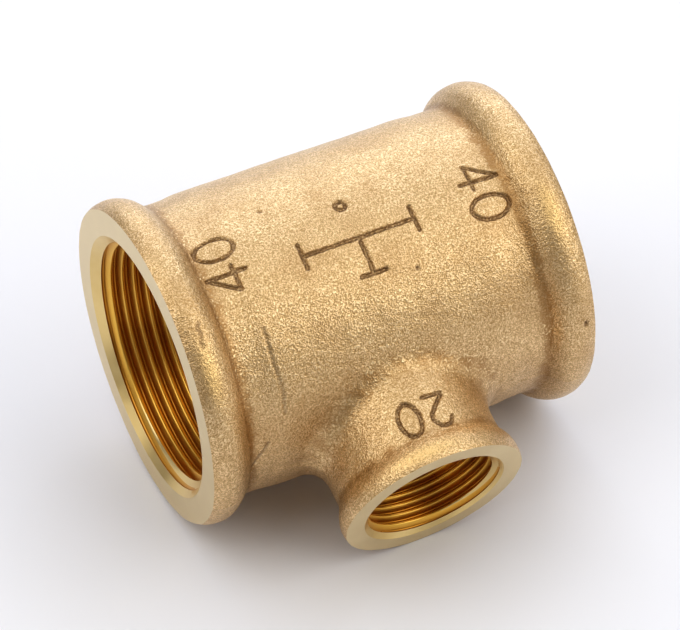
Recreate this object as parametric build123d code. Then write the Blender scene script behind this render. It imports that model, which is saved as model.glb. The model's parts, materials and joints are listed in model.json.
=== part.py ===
from build123d import *
import os
from math import asin, atan2, cos, degrees, hypot, radians, sin, sqrt

# A threaded reducing tee: one bronze casting with three tapped ports.
#
# Frame: +Z up, the tee lying as it rests on a bench, on the beads of its two run ports and on
# the rim of its branch port. The run axis is along X. The branch points towards -Y and dips
# until its rim touches the bench. The origin is the middle of the bounding box, at bench level.
# All lengths are in millimetres.

# ---- driving dimensions ----------------------------------------------------------------------

# Parallel pipe threads with 55 degree flanks.
RUN_THREAD_D = 47.803        # major diameter of the 1 1/2 inch run threads
RUN_THREAD_TPI = 11
RUN_THREAD_DEPTH = 21.0      # end face to the end of the thread
BRANCH_THREAD_D = 26.441     # major diameter of the 3/4 inch branch thread
BRANCH_THREAD_TPI = 14
BRANCH_THREAD_DEPTH = 16.0

# Lengths from the crossing of the two axes.
RUN_REACH = 38.0             # to each run end face
BRANCH_REACH = 43.0          # to the branch end face

# Walls outside the thread grooves.
RUN_WALL = 4.1
BRANCH_WALL = 2.83

# The neck beside each run bead is a little slimmer than the barrel.
NECK_STEP = 0.4
NECK_LENGTH = 14.6           # end face to the step
STEP_LENGTH = 1.0

# Half-round beads: height over the neck, radius of the section, crest to end face.
RUN_BEAD_HEIGHT = 3.3
RUN_BEAD_ARC = 5.6
RUN_BEAD_SETBACK = 2.9
BRANCH_BEAD_HEIGHT = 1.6
BRANCH_BEAD_ARC = 5.5
BRANCH_BEAD_SETBACK = 1.6

MOUTH_CLEARANCE = 1.1        # mouth radius over the run thread's major radius
BRANCH_MOUTH_CLEARANCE = 0.55
CORE_CLEARANCE = 0.5         # cored chamber radius over the run thread's major radius
PASSAGE_CLEARANCE = 0.4      # cored branch passage over the branch thread's major radius
BLEND_RADIUS = 5.0           # cast fillet where the branch leaves the barrel
BLEND_MARGIN = 1.0           # least length of straight wall beside that fillet

# ---- worked-out dimensions -------------------------------------------------------------------

MM_PER_INCH = 25.4
THREAD_HEIGHT = 0.640327     # depth of the thread form, in pitches

run_major_r = RUN_THREAD_D / 2
run_minor_r = run_major_r - THREAD_HEIGHT * MM_PER_INCH / RUN_THREAD_TPI
branch_major_r = BRANCH_THREAD_D / 2
branch_minor_r = branch_major_r - THREAD_HEIGHT * MM_PER_INCH / BRANCH_THREAD_TPI

barrel_r = run_major_r + RUN_WALL
neck_r = barrel_r - NECK_STEP
run_bead_r = neck_r + RUN_BEAD_HEIGHT
run_mouth_r = run_major_r + MOUTH_CLEARANCE
chamber_r = run_major_r + CORE_CLEARANCE

branch_r = branch_major_r + BRANCH_WALL
branch_bead_r = branch_r + BRANCH_BEAD_HEIGHT
branch_mouth_r = branch_major_r + BRANCH_MOUTH_CLEARANCE
passage_r = branch_major_r + PASSAGE_CLEARANCE


def bead_width(height, arc, setback):
    """Length of a bead along its axis, from its root on the neck to the end face."""
    return setback + sqrt(arc**2 - (arc - height) ** 2)


def face_radius(crest_r, arc, setback):
    """Outer radius of an end face, where it cuts a half-round bead."""
    return crest_r - arc + sqrt(arc**2 - setback**2)


run_bead_width = bead_width(RUN_BEAD_HEIGHT, RUN_BEAD_ARC, RUN_BEAD_SETBACK)
branch_bead_width = bead_width(BRANCH_BEAD_HEIGHT, BRANCH_BEAD_ARC, BRANCH_BEAD_SETBACK)
branch_face_r = face_radius(branch_bead_r, BRANCH_BEAD_ARC, BRANCH_BEAD_SETBACK)

# The fillet fits between the barrel and the branch bead, and the neck step stays clear of it.
blend_room = BRANCH_REACH - branch_bead_width - barrel_r - BLEND_MARGIN
blend_r = min(BLEND_RADIUS, blend_room)
neck_start = max(RUN_REACH - NECK_LENGTH, branch_r + BLEND_RADIUS + BLEND_MARGIN)


def rest_tilt():
    """Dip of the branch below the horizontal when its rim meets the bench, in radians."""
    arc_root_r = branch_bead_r - BRANCH_BEAD_ARC
    crest = BRANCH_REACH - BRANCH_BEAD_SETBACK
    on_arc = asin((run_bead_r - BRANCH_BEAD_ARC) / hypot(crest, arc_root_r)) - atan2(arc_root_r, crest)
    on_edge = asin(run_bead_r / hypot(BRANCH_REACH, branch_face_r)) - atan2(branch_face_r, BRANCH_REACH)
    face_side = asin(BRANCH_BEAD_SETBACK / BRANCH_BEAD_ARC)
    return on_arc if on_arc <= face_side else on_edge


tilt = rest_tilt()
front = BRANCH_REACH * cos(tilt) + branch_face_r * sin(tilt)
axis_y = (front - run_bead_r) / 2
axis_z = run_bead_r

# ---- geometry, built with the axes crossing at the origin and the branch along -Y ------------


def bead_outline(end, neck, crest_r, arc, setback, width):
    """Half-round bead section from its root on the neck to the end face, in (length, radius)."""
    centre = (end - setback, crest_r - arc)
    root_angle = degrees(atan2(neck - centre[1], end - width - centre[0]))
    face_angle = degrees(atan2(sqrt(arc**2 - setback**2), setback))
    return CenterArc(centre, arc, face_angle, root_angle - face_angle)


def run_outside():
    """Barrel, two slimmer necks and two beads, turned about the run axis."""
    root = RUN_REACH - run_bead_width
    bead = bead_outline(RUN_REACH, neck_r, run_bead_r, RUN_BEAD_ARC, RUN_BEAD_SETBACK, run_bead_width)
    step = [(0, barrel_r), (neck_start, barrel_r), (neck_start + STEP_LENGTH, neck_r), (root, neck_r)]
    face = [(RUN_REACH, face_radius(run_bead_r, RUN_BEAD_ARC, RUN_BEAD_SETBACK)), (RUN_REACH, 0)]
    outline = Polyline(*step) + bead + Polyline(*face, (0, 0), (0, barrel_r))
    half = revolve(make_face(outline), Axis.X)
    return half + mirror(half, Plane.YZ)


def branch_outside():
    """Branch wall and bead, turned about the branch axis."""
    root = BRANCH_REACH - branch_bead_width
    bead = bead_outline(
        BRANCH_REACH, branch_r, branch_bead_r, BRANCH_BEAD_ARC, BRANCH_BEAD_SETBACK, branch_bead_width
    )
    outline = Polyline((BRANCH_REACH, branch_face_r), (BRANCH_REACH, 0), (0, 0), (0, branch_r), (root, branch_r))
    turned = revolve(make_face(outline + bead), Axis.X)
    return Rot(0, 0, -90) * turned


def casting():
    """The two outsides joined, with the cast fillet around the root of the branch."""
    joined = run_outside() + branch_outside()
    root_edges = [edge for edge in joined.edges() if is_branch_root(edge)]
    return fillet(root_edges, blend_r)


def is_branch_root(edge):
    """True for the curve where the branch wall meets the barrel."""
    points = [edge.position_at(share) for share in (0.1, 0.35, 0.6, 0.9)]
    on_barrel = all(abs(hypot(p.Y, p.Z) - barrel_r) < 0.01 for p in points)
    on_branch = all(abs(hypot(p.X, p.Z) - branch_r) < 0.01 for p in points)
    return on_barrel and on_branch


def port_bore(reach, depth, minor_r, mouth_r, core_r):
    """Mouth chamfer, thread wall and the shoulder to the cored space behind it, along +X."""
    chamfer = mouth_r - minor_r
    shoulder = core_r - minor_r
    outline = Polyline(
        (reach, 0),
        (reach, mouth_r),
        (reach - chamfer, minor_r),
        (reach - depth, minor_r),
        (reach - depth - shoulder, core_r),
        (0, core_r),
        (0, 0),
        close=True,
    )
    return revolve(make_face(outline), Axis.X)


def waterway():
    """Everything hollow: two run bores, the chamber between them and the branch bore."""
    run_bore = port_bore(RUN_REACH, RUN_THREAD_DEPTH, run_minor_r, run_mouth_r, chamber_r)
    branch_bore = port_bore(
        BRANCH_REACH, BRANCH_THREAD_DEPTH, branch_minor_r, branch_mouth_r, passage_r
    )
    return run_bore + mirror(run_bore, Plane.YZ) + Rot(0, 0, -90) * branch_bore


def tee_body():
    """The finished casting, placed as it rests on the bench."""
    body = casting() - waterway()
    return Pos(0, axis_y, axis_z) * Rot(degrees(tilt), 0, 0) * body


os.makedirs("parts", exist_ok=True)
export_step(tee_body(), "parts/tee_body.step")
print(f"tilt {degrees(tilt):.3f} deg, run axis at y {axis_y:.3f}, z {axis_z:.3f}")
print(f"run wall radius {run_minor_r:.4f}, branch wall radius {branch_minor_r:.4f}")
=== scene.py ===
"""A cast bronze reducing tee: sand-cast outside, machined and tapped at its three ports."""
import json
from math import atan2, cos, hypot, pi, radians, sin

import bmesh
import bpy
import numpy as np
from mathutils import Matrix, Vector, kdtree, noise


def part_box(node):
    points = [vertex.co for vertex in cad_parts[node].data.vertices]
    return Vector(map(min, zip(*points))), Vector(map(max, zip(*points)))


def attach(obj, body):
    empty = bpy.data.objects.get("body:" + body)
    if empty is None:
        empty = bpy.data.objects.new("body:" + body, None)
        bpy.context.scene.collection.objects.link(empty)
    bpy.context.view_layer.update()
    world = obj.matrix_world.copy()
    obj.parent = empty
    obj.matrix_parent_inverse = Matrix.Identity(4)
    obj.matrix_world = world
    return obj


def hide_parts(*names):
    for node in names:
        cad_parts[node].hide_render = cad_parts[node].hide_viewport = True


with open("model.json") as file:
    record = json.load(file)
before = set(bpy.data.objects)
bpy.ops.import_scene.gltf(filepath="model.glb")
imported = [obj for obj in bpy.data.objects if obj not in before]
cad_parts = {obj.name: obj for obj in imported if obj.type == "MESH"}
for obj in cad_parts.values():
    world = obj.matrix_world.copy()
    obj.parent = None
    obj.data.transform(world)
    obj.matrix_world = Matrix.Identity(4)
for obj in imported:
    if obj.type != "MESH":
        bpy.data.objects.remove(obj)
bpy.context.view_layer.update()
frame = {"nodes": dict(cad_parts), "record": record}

MM = 0.001

# ---- sizes -------------------------------------------------------------------------------------

# Pipe threads: major radius, pitch, and how far the tap goes in from the end face.
# start is where the thread begins, in turns.
RUN_THREAD = {"major": 23.9015 * MM, "pitch": 25.4 / 11 * MM, "depth": 21.0 * MM, "start": 0.0}
BRANCH_THREAD = {"major": 13.2205 * MM, "pitch": 25.4 / 14 * MM, "depth": 16.0 * MM, "start": 0.5}
THREAD_HEIGHT = 0.640327        # depth of the thread form, in pitches
THREAD_ROUNDING = 0.137329      # radius of its crests and roots, in pitches
FLANK = radians(27.5)

# Cast beads: crest radius over the port's axis, section radius, crest to end face.
RUN_BEAD = {"crest": 30.9 * MM, "arc": 5.6 * MM, "setback": 2.9 * MM}
BRANCH_BEAD = {"crest": 17.65 * MM, "arc": 5.5 * MM, "setback": 1.6 * MM}

RUN_MOUTH_R = 25.0 * MM
BRANCH_MOUTH_R = 13.77 * MM
CHAMBER_R = 24.4 * MM
PASSAGE_R = 13.62 * MM

BARREL_R = 28.0 * MM
BRANCH_R = 16.05 * MM

VOXEL = 0.8 * MM                # grid of the cast skin
SKIN_ROUNDS = 2                 # smoothing rounds that take the grid's steps off the skin
RUN_STEPS = 128                 # facets round a run bore
BRANCH_STEPS = 96
BEAD_STEPS = 48                 # facets round a bead's section
CORE_RINGS = 12                 # rings along a cored space
FACE_STEPS = 32                 # facets round the block that cuts an end face
SHARP_ANGLE = radians(32)       # edges keener than this stay crisp

MERGE = 0.0001 * MM             # points closer than this are one point
CAD_MERGE = 0.001 * MM
THREAD_MERGE = 0.002 * MM

# ---- places, from the frame ----------------------------------------------------------------------

mounts = {mount["name"]: mount for mount in frame["record"]["mounts"]}
right_port = mounts["run_port_right"]
crossing = Vector((0, right_port["pos_m"][1], right_port["pos_m"][2]))
branch_way = Vector(mounts["branch_port"]["axis"]).normalized()
run_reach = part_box("tee_body")[1][0]
tee_node = frame["nodes"]["tee_body"]
branch_reach = max((vertex.co - crossing).dot(branch_way) for vertex in tee_node.data.vertices)
DIP = atan2(-branch_way.z, -branch_way.y)

PORTS = [
    dict(name="right", way=Vector((1, 0, 0)), reach=run_reach, thread=RUN_THREAD, bead=RUN_BEAD,
         mouth=RUN_MOUTH_R, core=CHAMBER_R, steps=RUN_STEPS),
    dict(name="left", way=Vector((-1, 0, 0)), reach=run_reach, thread=RUN_THREAD, bead=RUN_BEAD,
         mouth=RUN_MOUTH_R, core=CHAMBER_R, steps=RUN_STEPS),
    dict(name="branch", way=branch_way, reach=branch_reach, thread=BRANCH_THREAD, bead=BRANCH_BEAD,
         mouth=BRANCH_MOUTH_R, core=PASSAGE_R, steps=BRANCH_STEPS),
]


def port_place(port):
    """Matrix that takes a port built along +Z from the origin to its place on the tee."""
    turn = Vector((0, 0, 1)).rotation_difference(port["way"]).to_matrix().to_4x4()
    return Matrix.Translation(crossing) @ turn


def to_tee(points):
    """Points in the tee's own axes: X along the run, -Y along the branch, Z square to both."""
    y, z = points[:, 1] - crossing.y, points[:, 2] - crossing.z
    return np.column_stack((points[:, 0], y * cos(DIP) + z * sin(DIP), z * cos(DIP) - y * sin(DIP)))


def minor_radius(thread):
    """Radius of the crests of an internal thread."""
    return thread["major"] - THREAD_HEIGHT * thread["pitch"]


# ---- mesh helpers --------------------------------------------------------------------------------


def new_object(bm, name):
    """A mesh object from a bmesh, with the bmesh freed."""
    mesh = bpy.data.meshes.new(name)
    bm.to_mesh(mesh)
    bm.free()
    made = bpy.data.objects.new(name, mesh)
    bpy.context.scene.collection.objects.link(made)
    return made


def add_solid(bm, other):
    """Puts another bmesh's geometry into this one, and frees the other."""
    mesh = bpy.data.meshes.new("part")
    other.to_mesh(mesh)
    other.free()
    bm.from_mesh(mesh)
    bpy.data.meshes.remove(mesh)


def turned_solid(profile, steps):
    """Closed solid of revolution about Z from (length, radius) points that start and end on it."""
    bm = bmesh.new()
    verts = [bm.verts.new((radius, 0, length)) for length, radius in profile]
    edges = [bm.edges.new(pair) for pair in zip(verts, verts[1:])]
    bmesh.ops.spin(bm, geom=verts + edges, cent=(0, 0, 0), axis=(0, 0, 1), dvec=(0, 0, 0),
                   angle=2 * pi, steps=steps, use_merge=True, use_duplicate=False)
    bmesh.ops.remove_doubles(bm, verts=bm.verts, dist=MERGE)
    bmesh.ops.recalc_face_normals(bm, faces=bm.faces)
    return bm


def apply_modifiers(made):
    """Bakes an object's modifiers into its mesh."""
    graph = bpy.context.evaluated_depsgraph_get()
    old = made.data
    made.data = bpy.data.meshes.new_from_object(made.evaluated_get(graph), depsgraph=graph)
    made.modifiers.clear()
    bpy.data.meshes.remove(old)


def cut(body, tool):
    """Takes the tool's volume out of the body, and removes the tool."""
    boolean = body.modifiers.new("cut", "BOOLEAN")
    boolean.operation = "DIFFERENCE"
    boolean.solver = "MANIFOLD"
    boolean.object = tool
    apply_modifiers(body)
    bpy.data.objects.remove(tool)


# ---- the cast blank ------------------------------------------------------------------------------

PLUG_OVERLAP = 1.0 * MM         # how far a bore's plug goes into the wall
PLUG_STAND = 2.0 * MM           # and past the end face


def bead_ring(port):
    """Full round band that stands past the end face, as the casting does before it is faced."""
    bead = port["bead"]
    bm = bmesh.new()
    bmesh.ops.create_circle(bm, cap_ends=False, segments=BEAD_STEPS, radius=bead["arc"],
                            matrix=Matrix.Rotation(pi / 2, 4, "X"))
    bmesh.ops.translate(bm, verts=bm.verts,
                        vec=(bead["crest"] - bead["arc"], 0, port["reach"] - bead["setback"]))
    bmesh.ops.spin(bm, geom=bm.verts[:] + bm.edges[:], cent=(0, 0, 0), axis=(0, 0, 1),
                   dvec=(0, 0, 0), angle=2 * pi, steps=port["steps"], use_merge=True,
                   use_duplicate=False)
    bmesh.ops.recalc_face_normals(bm, faces=bm.faces)
    bm.transform(port_place(port))
    return bm


def bore_plug(port):
    """Solid bar that fills a port, so that the blank is solid as far as its bead stands."""
    radius = port["mouth"] + PLUG_OVERLAP
    end = port["reach"] + PLUG_STAND
    bm = turned_solid([(0, 0), (0, radius), (end, radius), (end, 0)], port["steps"])
    bm.transform(port_place(port))
    return bm


def cast_blank():
    """The outer shape as one even-meshed solid: the frame's outside with its bores filled."""
    bm = bmesh.new()
    bm.from_mesh(tee_node.data)
    bmesh.ops.remove_doubles(bm, verts=bm.verts, dist=CAD_MERGE)
    for port in PORTS:
        add_solid(bm, bead_ring(port))
        add_solid(bm, bore_plug(port))
    blank = new_object(bm, "tee_casting")
    remesh = blank.modifiers.new("skin", "REMESH")
    remesh.mode = "VOXEL"
    remesh.voxel_size = VOXEL
    apply_modifiers(blank)
    return blank


# ---- marks ---------------------------------------------------------------------------------------

MARK_DEPTH = 0.45 * MM
MARK_FLOOR = 0.16 * MM          # half-width of a stroke's floor
MARK_EDGE = 0.38 * MM           # width of its sloping side
MARK_WANDER = 0.13 * MM         # how far a stroke's edge strays in the sand
WANDER_LENGTH = 0.7             # millimetres between those strayings
MARK_CUTS = 3                   # cuts across each face along a stroke
MARK_REACH = 1.0 * MM           # no stroke is felt further off than this
SKIN_BAND = 2.0 * MM            # how far under the barrel's radius the skin may lie


def arc_points(centre, size, start, end, count=14):
    """Points along part of an ellipse, angles in degrees."""
    angles = [radians(start + (end - start) * step / count) for step in range(count + 1)]
    return [(centre[0] + size[0] * cos(a), centre[1] + size[1] * sin(a)) for a in angles]


# Each figure is a list of strokes in a box one unit high, with its corner at the lower left.
FIGURES = {
    "0": [arc_points((0.33, 0.5), (0.31, 0.5), 0, 360, 28)],
    "2": [arc_points((0.32, 0.70), (0.29, 0.29), 165, -40) + [(0.02, 0.0), (0.64, 0.0)]],
    "4": [[(0.50, 0.0), (0.50, 1.0), (0.02, 0.30), (0.70, 0.30)]],
}
FIGURE_ADVANCE = 0.92


def number_strokes(text, height):
    """Strokes of a number, centred on the origin."""
    width = FIGURE_ADVANCE * (len(text) - 1) + 0.66
    strokes = []
    for place, figure in enumerate(text):
        left = place * FIGURE_ADVANCE - width / 2
        for stroke in FIGURES[figure]:
            strokes.append([((left + x) * height, (y - 0.5) * height) for x, y in stroke])
    return strokes


def tee_symbol_strokes(width, height):
    """Piping plan symbol of a tee: a line with end ticks, and a ticked stem off its middle."""
    tick = 0.22 * width
    low, high = -height / 2, height / 2
    run_line = low + tick / 2
    return [
        [(-width / 2, run_line), (width / 2, run_line)],
        [(-width / 2, run_line - tick / 2), (-width / 2, run_line + tick / 2)],
        [(width / 2, run_line - tick / 2), (width / 2, run_line + tick / 2)],
        [(0, run_line), (0, high)],
        [(-tick / 2, high), (tick / 2, high)],
    ]


# Where each mark lies. On the run: place along X, and angle round from the top towards the
# branch. On the branch: length from the crossing, and angle round from the top towards +X.
# turn is how far the mark's up direction is turned from +X, or on the branch from its mouth.
MARKS = [
    dict(on="run", at=(-25.1 * MM, radians(-3)), turn=180, strokes=number_strokes("40", 7.4 * MM)),
    dict(on="run", at=(25.1 * MM, radians(3)), turn=0, strokes=number_strokes("40", 7.4 * MM)),
    dict(on="run", at=(0.0, radians(9.5)), turn=90, strokes=tee_symbol_strokes(22 * MM, 9.5 * MM)),
    dict(on="run", at=(-0.4 * MM, radians(-10)), turn=90,
         strokes=[arc_points((0, 0), (0.9 * MM, 0.9 * MM), 0, 360)]),
    dict(on="branch", at=(33.6 * MM, 0.0), turn=0, strokes=number_strokes("20", 6.4 * MM)),
]

# Flaws of the casting on the run: the line that the core left at the neck, which is browned partly
# as painted shade along the neck step's crease, nicks, and the odd pit. Each has its ends as
# millimetres along X and degrees round from the top, its depth in millimetres, and how brown it is.
FLAWS = [
    # The neck line: a faint real line, browned further as painted shade in the crease of the neck
    # step.
    dict(ends=[(-22.7, 25), (-22.9, 37), (-22.4, 48), (-22.6, 58)], depth=0.14, shade=0.42),
    dict(ends=[(35.9, 61.6), (35.8, 62.4)], depth=0.30, shade=1.0),
    dict(ends=[(-34.1, 16), (-34.8, 18), (-34.4, 20), (-35.2, 22.5), (-34.9, 24)], depth=0.13,
         shade=0.65),
    dict(ends=[(7.9, 22.6), (7.9, 22.8)], depth=0.25, shade=0.9),
    dict(ends=[(-14.0, -20), (-13.9, -19.8)], depth=0.22, shade=0.7),
    dict(ends=[(-26.4, 70), (-27.6, 74), (-29.4, 79)], depth=0.14, shade=0.6),
]


def mark_segments(mark):
    """A mark's strokes as pairs of ends, in (along, round) lengths on the surface."""
    turn = radians(mark["turn"])
    radius = BARREL_R if mark["on"] == "run" else BRANCH_R
    # Facing the surface with +along up, +round is to the right on the run and to the left
    # on the branch.
    side = 1 if mark["on"] == "run" else -1
    centre = (mark["at"][0], mark["at"][1] * radius)
    pairs = []
    for stroke in mark["strokes"]:
        ends = []
        for x, y in stroke:
            along = y * cos(turn) - x * sin(turn)
            across = x * cos(turn) + y * sin(turn)
            ends.append((centre[0] + along, centre[1] + side * across))
        pairs += list(zip(ends, ends[1:]))
    return np.array(pairs)


def flaw_segments(flaw):
    """A flaw's pairs of ends, in (along, round) lengths on the run's surface."""
    ends = [(x * MM, radians(angle) * BARREL_R) for x, angle in flaw["ends"]]
    return np.array(list(zip(ends, ends[1:])))


def distance_to(points, segments):
    """Shortest distance from each point to any segment, in two dimensions."""
    nearest = np.full(len(points), np.inf)
    for start, end in segments:
        run = end - start
        share = ((points - start) @ run) / max(run @ run, 1e-18)
        foot = start + np.clip(share, 0, 1)[:, None] * run
        nearest = np.minimum(nearest, np.hypot(*(points - foot).T))
    return nearest


def stroke_profile(distance):
    """How far down a stroke's side a point is: 1 on its floor, 0 outside it."""
    return 1 - soft_step((distance - MARK_FLOOR) / MARK_EDGE)


def pressings(points):
    """How deep the marks and flaws go at each point, and how brown they are there."""
    tee = to_tee(points)
    along_run = np.column_stack((tee[:, 0], np.arctan2(-tee[:, 1], tee[:, 2]) * BARREL_R))
    along_branch = np.column_stack((-tee[:, 1], np.arctan2(tee[:, 0], tee[:, 2]) * BRANCH_R))
    on_branch = np.hypot(tee[:, 0], tee[:, 2]) < BRANCH_R + MARK_REACH
    on_branch &= tee[:, 1] < -(BARREL_R - SKIN_BAND)
    on_run = (np.hypot(tee[:, 1], tee[:, 2]) > BARREL_R - SKIN_BAND) & ~on_branch
    depth, shade = np.zeros(len(points)), np.zeros(len(points))
    pressed = [(mark["on"], mark_segments(mark), MARK_DEPTH, 1.0) for mark in MARKS]
    pressed += [("run", flaw_segments(flaw), flaw["depth"] * MM, flaw["shade"]) for flaw in FLAWS]
    for on, segments, most, brown in pressed:
        flat = along_branch if on == "branch" else along_run
        low, high = segments.min(axis=(0, 1)) - MARK_REACH, segments.max(axis=(0, 1)) + MARK_REACH
        here = (on_branch if on == "branch" else on_run) & ((flat > low) & (flat < high)).all(axis=1)
        index = np.flatnonzero(here)
        strayed = [noise.noise(Vector(points[i]) / MM / WANDER_LENGTH) for i in index]
        wander = np.array(strayed) * MARK_WANDER
        profile = stroke_profile(distance_to(flat[index], segments) + wander)
        depth[index] = np.maximum(depth[index], most * profile)
        shade[index] = np.maximum(shade[index], brown * profile)
    return depth, shade


def soft_step(share):
    """Smooth rise from 0 to 1 as share goes from 0 to 1."""
    share = np.clip(share, 0, 1)
    return share * share * (3 - 2 * share)


# ---- the sand-cast skin ----------------------------------------------------------------------------

PARTING_WIDTH = 0.9 * MM
PARTING_HEIGHT = 0.16 * MM
NECK_STEP = (21.0 * MM, 27.0 * MM)     # where the barrel steps down to each neck
NECK_ROUNDS = 8                 # smoothing rounds that ease that step
HOLLOW_ROUNDS = 9               # smoothing rounds that find the hollows
HOLLOW_FULL = 0.20 * MM         # depth under the smoothed shape that counts as a full hollow
PARTING_FADE = 9.0              # millimetres over which the parting line comes and goes

# The sand's unevenness: how wide its lumps are, how high, and where their pattern starts.
UNEVENNESS = [
    (14.0, 0.16, Vector((0, 0, 0))),
    (4.6, 0.075, Vector((7, 3, 1))),
    (1.7, 0.045, Vector((2, 9, 4))),
]


def coordinates(mesh, kind="co"):
    """Vertex places or normals as an array."""
    values = np.empty(len(mesh.vertices) * 3, np.float32)
    mesh.vertices.foreach_get(kind, values)
    return values.reshape(-1, 3).astype(float)


def unevenness(point):
    """How far the sand pushed the skin out at a point, in millimetres."""
    place = point / MM
    return sum(noise.noise(place / width + start) * height for width, height, start in UNEVENNESS)


def ring_average(values, edges):
    """Each vertex's mean over its neighbours."""
    count = len(values)
    ends = np.concatenate((edges[:, 0], edges[:, 1]))
    others = np.concatenate((edges[:, 1], edges[:, 0]))
    number = np.maximum(np.bincount(ends, minlength=count), 1)
    sums = [np.bincount(ends, weights=column[others], minlength=count) for column in values.T]
    return np.column_stack(sums) / number[:, None]


def hollowness(mesh):
    """How far each vertex lies inside the smoothed shape: over 0 in hollows, under 0 on bulges."""
    edges = np.empty(len(mesh.edges) * 2, np.int32)
    mesh.edges.foreach_get("vertices", edges)
    edges = edges.reshape(-1, 2)
    points, normals = coordinates(mesh), coordinates(mesh, "normal")
    smoothed = points
    for _ in range(HOLLOW_ROUNDS):
        smoothed = ring_average(smoothed, edges)
    return ((smoothed - points) * normals).sum(axis=1)


def smooth(bm, verts, rounds):
    """Eases some points of a mesh towards their neighbours."""
    for _ in range(rounds):
        bmesh.ops.smooth_vert(bm, verts=verts, factor=0.5, use_axis_x=True, use_axis_y=True,
                              use_axis_z=True)


def refine_marks(blank):
    """Finer mesh along the strokes, so that they can be pressed in."""
    bm = bmesh.new()
    bm.from_mesh(blank.data)
    bm.verts.ensure_lookup_table()
    pressed = pressings(coordinates(blank.data))[1] > 0
    near = pressed | np.array([any(pressed[edge.other_vert(vert).index] for edge in vert.link_edges)
                               for vert in bm.verts])
    faces = [face for face in bm.faces if any(near[vert.index] for vert in face.verts)]
    edges = list({edge for face in faces for edge in face.edges})
    bmesh.ops.subdivide_edges(bm, edges=edges, cuts=MARK_CUTS, use_grid_fill=True)
    bm.to_mesh(blank.data)
    bm.free()


def shape_skin(blank):
    """Sand-cast unevenness, the parting line round the middle, and the pressed-in marks.

    Gives the skin's points and how hollow it is at each.
    """
    bm = bmesh.new()
    bm.from_mesh(blank.data)
    smooth(bm, bm.verts, SKIN_ROUNDS)
    step = [vert for vert in bm.verts if NECK_STEP[0] < abs(vert.co.x) < NECK_STEP[1]]
    smooth(bm, step, NECK_ROUNDS)
    bm.to_mesh(blank.data)
    bm.free()
    places, hollows = coordinates(blank.data), hollowness(blank.data)
    refine_marks(blank)
    mesh = blank.data
    points, normals = coordinates(mesh), coordinates(mesh, "normal")
    tee = to_tee(points)
    push = np.array([unevenness(Vector(point)) for point in points]) * MM
    fade = np.array([noise.noise(Vector(point) / MM / PARTING_FADE) for point in points]) * 0.8 + 0.6
    push += PARTING_HEIGHT * fade * (1 - soft_step(np.abs(tee[:, 2]) / PARTING_WIDTH))
    push -= pressings(points)[0]
    mesh.vertices.foreach_set("co", (points + normals * push[:, None]).ravel())
    mesh.update()
    return places, hollows


# ---- machining -----------------------------------------------------------------------------------

FACE_CUT_MARGIN = 5 * MM        # how far the facing cut goes past a bead
FACE_CUT_DEPTH = 12 * MM
MOUTH_STAND = 1.0 * MM          # how far a bore cut starts outside the end face
THREAD_ALLOWANCE = 0.3 * MM     # how far the tapping hole is cut under the thread's crests
CORE_OVERLAP = 3.0 * MM         # each core runs past the crossing, so that the cores overlap
CORE_ROUGHNESS = 0.2 * MM       # how uneven a cored wall is
CORE_LUMP = 5.0                 # millimetres across its lumps


def face_cutter(port):
    """Block that takes off everything beyond an end face."""
    radius = port["bead"]["crest"] + FACE_CUT_MARGIN
    start = port["reach"]
    end = start + FACE_CUT_DEPTH
    bm = turned_solid([(start, 0), (start, radius), (end, radius), (end, 0)], FACE_STEPS)
    bm.transform(port_place(port))
    return new_object(bm, "face_cutter")


def bore_cutter(port):
    """Mouth chamfer, tapping hole, shoulder and cored space of one port."""
    minor = minor_radius(port["thread"])
    reach, mouth, core = port["reach"], port["mouth"], port["core"]
    shoulder = reach - port["thread"]["depth"]
    core_end = shoulder - (core - minor)
    core_length = core_end + CORE_OVERLAP
    profile = [
        (reach + MOUTH_STAND, 0),
        (reach + MOUTH_STAND, mouth + MOUTH_STAND),
        (reach - (mouth - minor) - THREAD_ALLOWANCE, minor - THREAD_ALLOWANCE),
        (shoulder, minor - THREAD_ALLOWANCE),
        (shoulder, minor),
    ]
    for ring in range(CORE_RINGS + 1):
        profile.append((core_end - core_length * ring / CORE_RINGS, core))
    profile.append((-CORE_OVERLAP, 0))
    bm = turned_solid(profile, port["steps"])
    for vert in bm.verts:
        if hypot(vert.co.x, vert.co.y) > core - 0.01 * MM and 0 < vert.co.z < core_end:
            lump = noise.noise(vert.co / MM / CORE_LUMP) * CORE_ROUGHNESS
            lump *= soft_step(vert.co.z / CORE_OVERLAP)
            vert.co += Vector((vert.co.x, vert.co.y, 0)).normalized() * lump
    bm.transform(port_place(port))
    return new_object(bm, "bore_cutter")


def thread_outline(thread):
    """One pitch of the rounded thread form, as (along, radius) points from crest to crest."""
    pitch = thread["pitch"]
    rounding = THREAD_ROUNDING * pitch
    minor = minor_radius(thread)
    lean = pi / 2 - FLANK
    crest_angles = [lean * step / 2 for step in range(3)]
    root_angles = [lean * (step / 2 - 1) for step in range(5)]
    crest = minor + rounding
    bottom = thread["major"] - rounding
    rise = [(-pitch / 2 + rounding * sin(a), crest - rounding * cos(a)) for a in crest_angles]
    root = [(rounding * sin(a), bottom + rounding * cos(a)) for a in root_angles]
    return rise + root + [(-along, radius) for along, radius in reversed(rise)]


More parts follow.
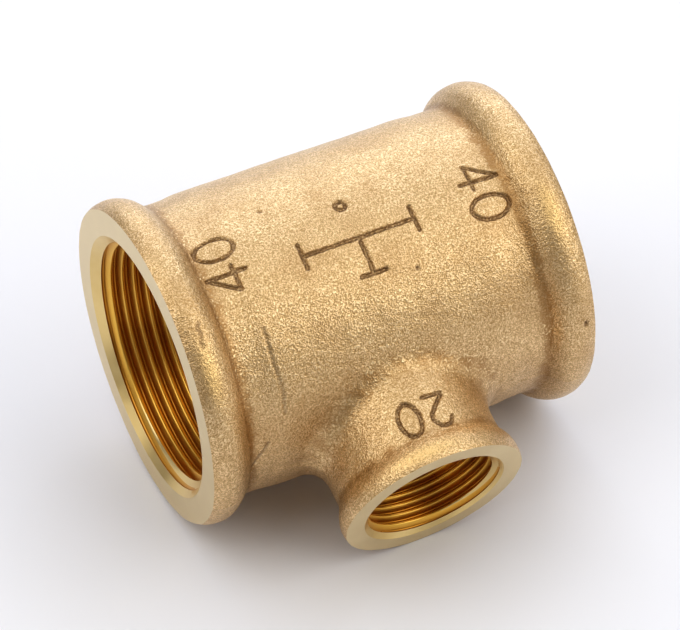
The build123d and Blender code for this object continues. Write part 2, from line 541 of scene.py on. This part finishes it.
def tap_cutter(port):
    """Threaded rod the shape of the tap, from past the mouth to the cored space."""
    thread = port["thread"]
    pitch = thread["pitch"]
    low = port["reach"] - thread["depth"] - 0.5 * pitch
    high = port["reach"] + 0.5 * pitch
    turns = int((high - low) / pitch) + 4
    bm = bmesh.new()
    first = low - (1.5 + thread["start"]) * pitch
    verts = [bm.verts.new((radius, 0, first + along)) for along, radius in thread_outline(thread)]
    edges = [bm.edges.new(pair) for pair in zip(verts, verts[1:])]
    bmesh.ops.spin(bm, geom=verts + edges, cent=(0, 0, 0), axis=(0, 0, 1),
                   dvec=(0, 0, pitch / port["steps"]), angle=2 * pi, steps=port["steps"],
                   use_merge=False, use_duplicate=False)
    one_turn = bm.verts[:] + bm.edges[:] + bm.faces[:]
    for turn in range(1, turns):
        copied = bmesh.ops.duplicate(bm, geom=one_turn)["geom"]
        copied_verts = [item for item in copied if isinstance(item, bmesh.types.BMVert)]
        bmesh.ops.translate(bm, verts=copied_verts, vec=(0, 0, turn * pitch))
    bmesh.ops.remove_doubles(bm, verts=bm.verts, dist=THREAD_MERGE)
    for level, side in ((low, -1), (high, 1)):
        found = bmesh.ops.bisect_plane(bm, geom=bm.verts[:] + bm.edges[:] + bm.faces[:], dist=0,
                                       plane_co=(0, 0, level), plane_no=(0, 0, side),
                                       clear_outer=True)
        rim = [item for item in found["geom_cut"] if isinstance(item, bmesh.types.BMEdge)]
        bmesh.ops.holes_fill(bm, edges=rim, sides=0)
    bmesh.ops.recalc_face_normals(bm, faces=bm.faces)
    bm.transform(port_place(port))
    return new_object(bm, "tap_cutter")


def machine(casting):
    """Faces, bores and taps the three ports."""
    for port in PORTS:
        cut(casting, face_cutter(port))
    for port in PORTS:
        cut(casting, bore_cutter(port))
    for port in PORTS:
        cut(casting, tap_cutter(port))


# Rubbed bright patches on the beads: (port, angle from the top towards the branch or +X, its
# half-width, and how far behind the end face they lie).
RUBBED = [("left", 33, 12, 3.0 * MM), ("right", 20, 11, 3.6 * MM), ("branch", -12, 24, 2.2 * MM)]
RUBBED_HALF = 1.7 * MM


def rubbing(points):
    """How rubbed the skin is at each point, from 0 to 1."""
    tee = to_tee(points)
    found = np.zeros(len(points))
    for name, angle, half, back in RUBBED:
        port = next(port for port in PORTS if port["name"] == name)
        if name == "branch":
            along, around = -tee[:, 1], np.degrees(np.arctan2(tee[:, 0], tee[:, 2]))
        else:
            along, around = tee[:, 0] * port["way"].x, np.degrees(np.arctan2(-tee[:, 1], tee[:, 2]))
        off = (along - (port["reach"] - back)) / RUBBED_HALF
        found = np.maximum(found, np.exp(-off ** 2 - ((around - angle) / half) ** 2))
    return found


def store(mesh, name, values):
    """Keeps a value at each vertex under a name that the finishes read."""
    kept = mesh.attributes.new(name, "FLOAT", "POINT")
    kept.data.foreach_set("value", values.astype(np.float32))


def note_surface(casting, places, hollows):
    """Stores where the skin is stroked, hollow or rubbed."""
    mesh = casting.data
    points = coordinates(mesh)
    store(mesh, "stroke", pressings(points)[1])
    tree = kdtree.KDTree(len(places))
    for index, place in enumerate(places):
        tree.insert(place, index)
    tree.balance()
    nearest = [tree.find(point)[1] for point in points]
    store(mesh, "hollow", np.clip(hollows[nearest] / HOLLOW_FULL, -1, 1))
    store(mesh, "rubbed", rubbing(points))


# ---- finishes ------------------------------------------------------------------------------------


class Finish:
    """A material being made: short calls that add and join its nodes."""

    def __init__(self, name):
        self.material = bpy.data.materials.new(name)
        self.material.use_nodes = True
        self.tree = self.material.node_tree
        self.shader = self.tree.nodes["Principled BSDF"]
        place = self.node("ShaderNodeTexCoord")
        mapping = self.node("ShaderNodeMapping", vector_type="TEXTURE")
        mapping.inputs["Location"].default_value = crossing
        mapping.inputs["Rotation"].default_value = (DIP, 0, 0)
        mapping.inputs["Scale"].default_value = (MM, MM, MM)
        self.join(place.outputs["Object"], mapping.inputs["Vector"])
        self.place = mapping.outputs["Vector"]

    def node(self, kind, **settings):
        """A new node with its settings."""
        made = self.tree.nodes.new(kind)
        for key, value in settings.items():
            setattr(made, key, value)
        return made

    def join(self, output, socket):
        """A link from an output to a socket."""
        self.tree.links.new(output, socket)

    def set(self, **values):
        """Constant values on the shader's own sockets."""
        for name, value in values.items():
            self.shader.inputs[name.replace("_", " ")].default_value = value

    def grain(self, size, detail=2.0):
        """Noise whose features are about size millimetres across."""
        made = self.node("ShaderNodeTexNoise")
        made.inputs["Scale"].default_value = 1 / size
        made.inputs["Detail"].default_value = detail
        self.join(self.place, made.inputs["Vector"])
        return made.outputs["Fac"]

    def ramp(self, source, *stops):
        """Colours along a 0 to 1 value: (position, colour) stops."""
        made = self.node("ShaderNodeValToRGB")
        elements = made.color_ramp.elements
        while len(elements) < len(stops):
            elements.new(0.5)
        for element, (position, colour) in zip(elements, stops):
            element.position = position
            element.color = (*colour, 1)
        self.join(source, made.inputs["Fac"])
        return made.outputs["Color"]

    def scale(self, source, low, high, from_low=0.0, from_high=1.0):
        """A value spread between two limits."""
        made = self.node("ShaderNodeMapRange")
        for name, value in zip(("From Min", "From Max", "To Min", "To Max"),
                               (from_low, from_high, low, high)):
            made.inputs[name].default_value = value
        self.join(source, made.inputs["Value"])
        return made.outputs["Result"]

    def mix(self, share, first, second):
        """A share of the second colour over the first."""
        made = self.node("ShaderNodeMix", data_type="RGBA")
        for socket, source in ((made.inputs["Factor"], share), (made.inputs["A"], first),
                               (made.inputs["B"], second)):
            self.feed(source, socket)
        return made.outputs["Result"]

    def math(self, operation, first, second=0.0):
        """One sum on two values."""
        made = self.node("ShaderNodeMath", operation=operation)
        self.feed(first, made.inputs[0])
        self.feed(second, made.inputs[1])
        return made.outputs[0]

    def feed(self, source, socket):
        """Joins an output, or sets a plain value."""
        if isinstance(source, bpy.types.NodeSocket):
            self.join(source, socket)
        elif isinstance(source, tuple):
            socket.default_value = (*source, 1)
        else:
            socket.default_value = source

    def bump(self, height, depth, under=None):
        """Relief of the given depth in millimetres, over another relief."""
        made = self.node("ShaderNodeBump")
        made.inputs["Strength"].default_value = 1.0
        made.inputs["Distance"].default_value = depth * MM
        self.join(height, made.inputs["Height"])
        if under is not None:
            self.join(under, made.inputs["Normal"])
        return made.outputs["Normal"]

    def radius(self, axis):
        """Distance from the run axis (axis X) or the branch axis (axis Y), in millimetres."""
        split = self.node("ShaderNodeSeparateXYZ")
        self.join(self.place, split.inputs[0])
        other = {"X": "Y", "Y": "X"}[axis]
        sides = [split.outputs[other], split.outputs["Z"]]
        squares = [self.math("MULTIPLY", side, side) for side in sides]
        return self.math("SQRT", self.math("ADD", *squares))


# Colours, as the share of red, green and blue light that the metal sends back.
SKIN_LOW = (0.46, 0.295, 0.12)
SKIN = (0.63, 0.428, 0.208)
SKIN_HIGH = (0.87, 0.635, 0.365)
SKIN_BROWN = (0.37, 0.20, 0.065)
# Painted glint: a bright colour put on specks of the skin in place of highlights.
PAINTED_GLINT = (0.96, 0.75, 0.43)
RUBBED_GOLD = (0.90, 0.62, 0.26)
STROKE_BROWN = (0.17, 0.092, 0.034)
# Light and dark of each cut surface, and the painted shade down the roots of its thread.
FACE_BRASS = ((0.77, 0.635, 0.39), (0.72, 0.575, 0.33))
CHAMFER_BRASS = ((0.82, 0.63, 0.30), (0.77, 0.57, 0.25))
THREAD_BRASS = ((0.86, 0.54, 0.12), (0.81, 0.48, 0.09))
PAINTED_ROOT_SHADE = (0.60, 0.29, 0.045)

# The skin's grains, in millimetres across, and the relief of each in millimetres.
FINE_GRAIN, FINE_RELIEF = 0.21, 0.070
COARSE_GRAIN, COARSE_RELIEF = 0.40, 0.085
LUMP_GRAIN, LUMP_RELIEF = 2.2, 0.12
CLOUD_GRAIN = 8.0
SKIN_ROUGH, SKIN_SMOOTH = 0.52, 0.36
GLINT_POLISH = 0.12             # how much smoother a glint is

# Tool rings: the pitch and depth that the cutter left, in millimetres.
FACE_RINGS = (0.30, 0.0035)
CHAMFER_RINGS = (0.22, 0.003)
THREAD_RINGS = (0.20, 0.002)
TARNISH_GRAIN = 5.0
RING_WOBBLE_GRAIN = 3.0


def cast_skin():
    """Sand-cast bronze: fine sparkling grain with painted glints, browner in its hollows as oxide and
    painted shade, brighter where rubbed.
    """
    made = Finish("cast_bronze_skin")
    fine = made.grain(FINE_GRAIN, detail=0.0)
    coarse = made.grain(COARSE_GRAIN, detail=0.0)
    lumps = made.grain(LUMP_GRAIN)
    cloud = made.grain(CLOUD_GRAIN, detail=4.0)
    grain = made.math("ADD", made.math("MULTIPLY", fine, 0.7), made.math("MULTIPLY", coarse, 0.3))
    colour = made.ramp(grain, (0.32, SKIN_LOW), (0.50, SKIN), (0.66, SKIN_HIGH))
    colour = made.mix(made.scale(cloud, 0.0, 0.35, 0.50, 0.75), colour, SKIN_BROWN)
    hollow = made.node("ShaderNodeAttribute", attribute_name="hollow").outputs["Fac"]
    # Browner in the hollows: partly oxide, partly painted shade in the creases by the beads and the
    # branch.
    oxide_and_painted_shade = made.math("ADD", hollow, made.scale(lumps, -0.3, 0.3, 0.3, 0.7))
    colour = made.mix(made.scale(oxide_and_painted_shade, 0.0, 0.80, 0.25, 1.0), colour, SKIN_BROWN)
    # Painted glints: bright specks painted into the skin's colour in patches, standing in for
    # highlights; they are also made a little smoother.
    patches = made.scale(cloud, 0.75, 0.08, 0.42, 0.56)
    glint = made.math("MULTIPLY", made.scale(coarse, 0.0, 1.0, 0.64, 0.75), patches)
    colour = made.mix(glint, colour, PAINTED_GLINT)
    rubbed = made.node("ShaderNodeAttribute", attribute_name="rubbed").outputs["Fac"]
    worn = made.math("ADD", rubbed, made.scale(grain, -0.35, 0.35, 0.3, 0.7))
    rubbed = made.scale(worn, 0.0, 1.0, 0.3, 0.9)
    colour = made.mix(made.math("MULTIPLY", rubbed, 0.65), colour, RUBBED_GOLD)
    stroke = made.node("ShaderNodeAttribute", attribute_name="stroke").outputs["Fac"]
    stroke = made.math("MULTIPLY", stroke, made.scale(coarse, 0.5, 1.0, 0.35, 0.6))
    colour = made.mix(stroke, colour, STROKE_BROWN)
    made.join(colour, made.shader.inputs["Base Color"])
    made.set(Metallic=0.95, Coat_Weight=0.35, Coat_Roughness=0.30, Coat_IOR=1.5)
    rough = made.scale(fine, SKIN_ROUGH, SKIN_SMOOTH, 0.40, 0.62)
    rough = made.math("SUBTRACT", rough, made.math("MULTIPLY", glint, GLINT_POLISH))
    made.join(rough, made.shader.inputs["Roughness"])
    relief = made.bump(lumps, LUMP_RELIEF)
    relief = made.bump(coarse, COARSE_RELIEF, under=relief)
    relief = made.bump(fine, FINE_RELIEF, under=relief)
    made.join(relief, made.shader.inputs["Normal"])
    made.join(relief, made.shader.inputs["Coat Normal"])
    return made.material


def cut_metal(name, axis, colours, roughness, rings, thread=None):
    """Bright cut metal with fine tool rings round a port's axis, with painted shade darkening it down
    a thread's roots.
    """
    made = Finish(name)
    light, dark = colours
    ring_pitch, ring_depth = rings
    cloud = made.grain(TARNISH_GRAIN, detail=4.0)
    colour = made.ramp(cloud, (0.3, dark), (0.7, light))
    radius = made.radius(axis)
    if thread:
        crest, root = minor_radius(thread) / MM, thread["major"] / MM
        # Painted shade: the colour darkens from the crests down into the thread's roots.
        down = made.scale(radius, 0.0, 1.0, crest + 0.1 * (root - crest), root)
        colour = made.mix(down, colour, PAINTED_ROOT_SHADE)
    made.join(colour, made.shader.inputs["Base Color"])
    made.set(Metallic=1.0)
    rough = made.scale(cloud, roughness * 0.9, roughness * 1.15, 0.3, 0.7)
    made.join(rough, made.shader.inputs["Roughness"])
    wobble = made.math("MULTIPLY", made.grain(RING_WOBBLE_GRAIN), ring_pitch * 1.5)
    strayed = made.math("ADD", radius, wobble)
    wave = made.math("SINE", made.math("MULTIPLY", strayed, 2 * pi / ring_pitch))
    made.join(made.bump(wave, ring_depth), made.shader.inputs["Normal"])
    return made.material


# Finishes in the order of the casting's slots.
CAST, FACED, CHAMFERED, TAPPED, BRANCH_FACED, BRANCH_CHAMFERED, BRANCH_TAPPED = range(7)

# How near a surface a face's middle must be to belong to it.
ON_FACE = 0.01 * MM
ON_CHAMFER = 0.03 * MM
IN_BORE = 0.05 * MM


def finish_of(centre):
    """Which finish a face has, from where its middle lies."""
    for port in PORTS:
        thread, mouth = port["thread"], port["mouth"]
        branch = port["name"] == "branch"
        along = (centre - crossing).dot(port["way"])
        radius = (centre - crossing - along * port["way"]).length
        from_end = port["reach"] - along
        if abs(from_end) < ON_FACE:
            return BRANCH_FACED if branch else FACED
        tapped = thread["depth"] + port["core"] - minor_radius(thread)
        if radius > mouth + IN_BORE or not -MOUTH_STAND < from_end < tapped:
            continue
        if abs(from_end - (mouth - radius)) < ON_CHAMFER:
            return BRANCH_CHAMFERED if branch else CHAMFERED
        return BRANCH_TAPPED if branch else TAPPED
    return CAST


def dress(casting):
    """Gives each surface of the casting its finish."""
    materials = casting.data.materials
    materials.clear()
    for material in (
        cast_skin(),
        cut_metal("faced_run_end", "X", FACE_BRASS, 0.34, FACE_RINGS),
        cut_metal("chamfered_run_mouth", "X", CHAMFER_BRASS, 0.31, CHAMFER_RINGS),
        cut_metal("run_thread", "X", THREAD_BRASS, 0.34, THREAD_RINGS, RUN_THREAD),
        cut_metal("faced_branch_end", "Y", FACE_BRASS, 0.32, FACE_RINGS),
        cut_metal("chamfered_branch_mouth", "Y", CHAMFER_BRASS, 0.31, CHAMFER_RINGS),
        cut_metal("branch_thread", "Y", THREAD_BRASS, 0.30, THREAD_RINGS, BRANCH_THREAD),
    ):
        materials.append(material)
    for face in casting.data.polygons:
        face.material_index = finish_of(face.center)


# ---- studio --------------------------------------------------------------------------------------

CAMERA_AZIMUTH = radians(-24.26)
CAMERA_ELEVATION = radians(43.93)
CAMERA_ROLL = radians(-2.07)
CAMERA_DISTANCE = 730.2 * MM
CAMERA_AIM = Vector((-1.45, 2.36, 32.52)) * MM
CAMERA_LENS = 212.3
CAMERA_SENSOR = 36
NEAR_CLIP = 50 * MM


def aimed(azimuth, elevation):
    """Turn of a camera or light that looks inwards from a direction; azimuth 0 is the -Y side."""
    return Matrix.Rotation(azimuth, 4, "Z") @ Matrix.Rotation(pi / 2 - elevation, 4, "X")


def place_camera():
    """Long lens from above the left port, looking down on the branch."""
    data = bpy.data.cameras.new("camera")
    data.lens = CAMERA_LENS
    data.sensor_width = CAMERA_SENSOR
    data.clip_start = NEAR_CLIP
    camera = bpy.data.objects.new("camera", data)
    bpy.context.scene.collection.objects.link(camera)
    turn = aimed(CAMERA_AZIMUTH, CAMERA_ELEVATION) @ Matrix.Rotation(CAMERA_ROLL, 4, "Z")
    back = turn @ Vector((0, 0, CAMERA_DISTANCE))
    camera.matrix_world = Matrix.Translation(CAMERA_AIM + back) @ turn
    bpy.context.scene.camera = camera


def soft_light(name, azimuth, elevation, power, colour):
    """Square soft box that points at the tee."""
    data = bpy.data.lights.new(name, "AREA")
    data.shape = "SQUARE"
    data.size = BOX_SIZE
    data.energy = power
    data.color = colour
    light = bpy.data.objects.new(name, data)
    bpy.context.scene.collection.objects.link(light)
    turn = aimed(radians(azimuth), radians(elevation))
    back = turn @ Vector((0, 0, BOX_DISTANCE))
    light.matrix_world = Matrix.Translation(back + crossing) @ turn


# Soft boxes round the tee: name, azimuth and elevation in degrees, power in watts, and colour.
WARM = (1.0, 0.975, 0.92)
COOL = (0.95, 1.0, 1.11)
SOFT_BOXES = [
    ("left_box", -95, 45, 7.1, WARM),
    ("right_box", 45, 35, 8.9, WARM),
    ("back_right_box", 111, 45, 4.4, COOL),
    ("back_box", 156, 28, 7.7, COOL),
    ("back_left_box", -159, 45, 3.3, COOL),
    ("top_box", -24, 82, 4.3, WARM),
]
BOX_DISTANCE = 1.5
BOX_SIZE = 1.3
FLOOR_HALF = 4.0
SURROUND = (0.98, 0.96, 0.95)
SURROUND_STRENGTH = 0.20
PAPER = (0.82, 0.825, 0.865)


def studio():
    """Pale paper floor, a ring of soft boxes and a faint even surround."""
    bm = bmesh.new()
    bmesh.ops.create_grid(bm, x_segments=1, y_segments=1, size=FLOOR_HALF)
    floor = new_object(bm, "floor")
    paper = bpy.data.materials.new("paper")
    paper.use_nodes = True
    shader = paper.node_tree.nodes["Principled BSDF"]
    shader.inputs["Base Color"].default_value = (*PAPER, 1)
    shader.inputs["Roughness"].default_value = 0.9
    floor.data.materials.append(paper)
    world = bpy.data.worlds.new("surround")
    world.use_nodes = True
    background = world.node_tree.nodes["Background"]
    background.inputs["Color"].default_value = (*SURROUND, 1)
    background.inputs["Strength"].default_value = SURROUND_STRENGTH
    bpy.context.scene.world = world
    bpy.context.scene.view_settings.view_transform = "Standard"
    bpy.context.scene.view_settings.look = "Medium High Contrast"
    for box in SOFT_BOXES:
        soft_light(*box)


# ---- the tee -------------------------------------------------------------------------------------

casting = cast_blank()
skin_places, skin_hollows = shape_skin(casting)
machine(casting)
note_surface(casting, skin_places, skin_hollows)
dress(casting)
casting.data.shade_smooth()
casting.data.set_sharp_from_angle(angle=SHARP_ANGLE)
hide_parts("tee_body")
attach(casting, "root")

place_camera()
studio()
